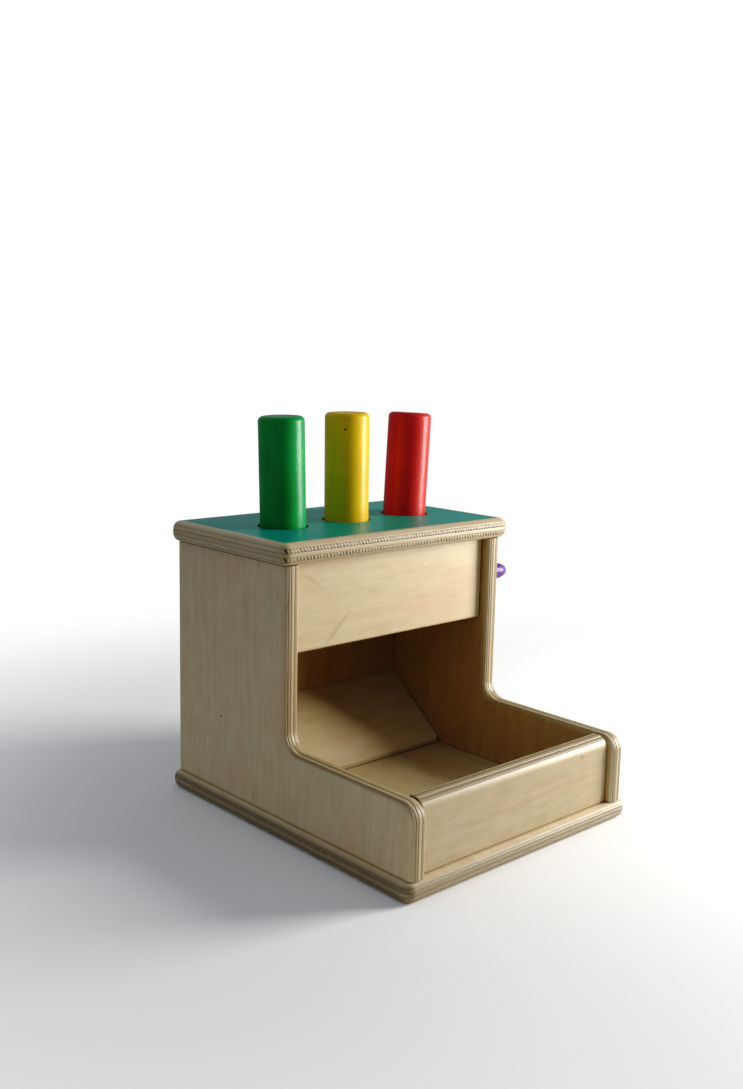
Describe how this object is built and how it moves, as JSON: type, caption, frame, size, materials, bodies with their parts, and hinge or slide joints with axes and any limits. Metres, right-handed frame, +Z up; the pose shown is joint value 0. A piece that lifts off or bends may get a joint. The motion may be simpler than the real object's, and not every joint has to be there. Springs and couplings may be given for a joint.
{
  "type": "tap peg box",
  "caption": "Plywood tap-peg toy: a tower whose painted lid holds round pegs that slide down when tapped, with a ramp inside and a catch tray in front.",
  "frame": {"origin": "middle of the base board's underside", "axes": "+X to the right as a child faces the tray, +Y to the back, +Z up"},
  "size_m": [0.157, 0.171, 0.1879],
  "materials": {
    "birch_plywood": "bare five-ply, sanded, thin clear lacquer",
    "painted_plywood": "teal satin paint on the top face, rims left bare",
    "green_lacquer": "satin coloured lacquer on turned hardwood",
    "yellow_lacquer": "satin coloured lacquer on turned hardwood",
    "red_lacquer": "satin coloured lacquer on turned hardwood",
    "purple_lacquer": "satin coloured lacquer on turned hardwood",
    "grip_rubber": "matt black rubber",
    "beech_dowel": "bare beech",
    "zinc_screw": "yellow zinc-plated steel"
  },
  "bodies": {
    "box": {"base_board": "birch_plywood", "left_side_wall": "birch_plywood", "right_side_wall": "birch_plywood", "back_panel": "birch_plywood", "top_board": "painted_plywood", "fascia_board": "birch_plywood", "tray_front_board": "birch_plywood", "ramp_board": "birch_plywood", "ramp_cleat": "birch_plywood", "peg_guide_board": "birch_plywood", "side_peg": "purple_lacquer", "green_grip_ring": "grip_rubber", "yellow_grip_ring": "grip_rubber", "red_grip_ring": "grip_rubber", "base_screw_left_front": "zinc_screw", "base_screw_left_middle": "zinc_screw", "base_screw_left_back": "zinc_screw", "base_screw_right_front": "zinc_screw", "base_screw_right_middle": "zinc_screw", "base_screw_right_back": "zinc_screw", "tray_board_screw_left": "zinc_screw", "tray_board_screw_right": "zinc_screw", "back_panel_screw_left": "zinc_screw", "back_panel_screw_right": "zinc_screw", "cleat_screw_left": "zinc_screw", "cleat_screw_right": "zinc_screw", "guide_screw_left_front": "zinc_screw", "guide_screw_left_back": "zinc_screw", "guide_screw_right_front": "zinc_screw", "guide_screw_right_back": "zinc_screw", "lid_dowel_left_front": "beech_dowel", "lid_dowel_left_back": "beech_dowel", "lid_dowel_right_front": "beech_dowel", "lid_dowel_right_back": "beech_dowel", "fascia_dowel_left_lower": "beech_dowel", "fascia_dowel_left_upper": "beech_dowel", "fascia_dowel_right_lower": "beech_dowel", "fascia_dowel_right_upper": "beech_dowel"},
    "green_peg": {"green_peg": "green_lacquer"},
    "yellow_peg": {"yellow_peg": "yellow_lacquer"},
    "red_peg": {"red_peg": "red_lacquer"}
  },
  "joints": [
    {"name": "green_peg_slide", "type": "slide", "parent": "box", "child": "green_peg", "axis": [-0.0332, 0, 0.9995], "range_m": [-0.052, 0.024]},
    {"name": "yellow_peg_slide", "type": "slide", "parent": "box", "child": "yellow_peg", "axis": [-0.0122, 0, 0.9999], "range_m": [-0.0528, 0.024]},
    {"name": "red_peg_slide", "type": "slide", "parent": "box", "child": "red_peg", "axis": [0.0489, 0, 0.9988], "range_m": [-0.052, 0.024]}
  ]
}
